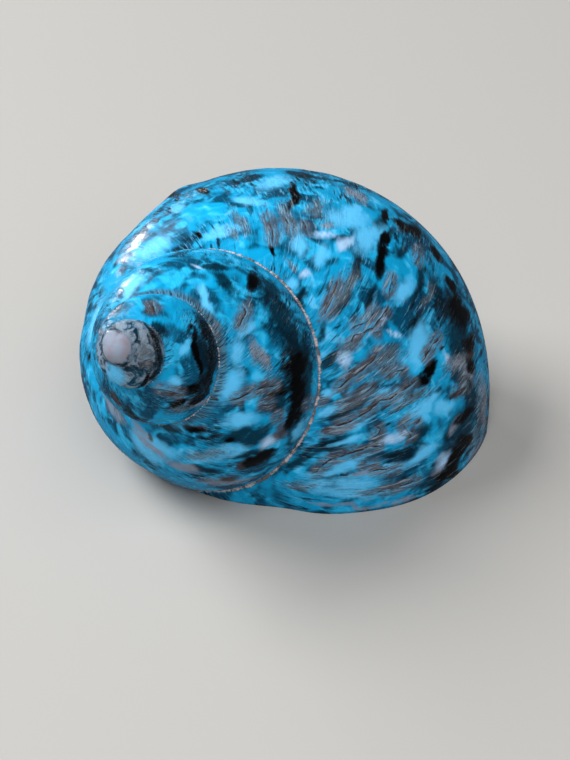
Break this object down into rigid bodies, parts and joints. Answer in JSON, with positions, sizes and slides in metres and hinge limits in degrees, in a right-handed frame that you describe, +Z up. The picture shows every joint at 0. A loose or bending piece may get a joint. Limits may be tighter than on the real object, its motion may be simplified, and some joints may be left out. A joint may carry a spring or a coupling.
{
  "type": "turban shell",
  "caption": "Polished turban shell with a domed spire and a wide round aperture, lying on its aperture.",
  "frame": {"origin": "on the ground, under the middle of the shell's bounding box", "axes": "+Z up from the ground the shell lies on, +X towards the outer lip and -X towards the spire, -Y towards the side the spire leans to"},
  "size_m": [0.0472, 0.0436, 0.0309],
  "materials": {
    "polished_shell": "polished shell, marbled blue"
  },
  "bodies": {
    "root": {"shell": "polished_shell"}
  },
  "joints": []
}
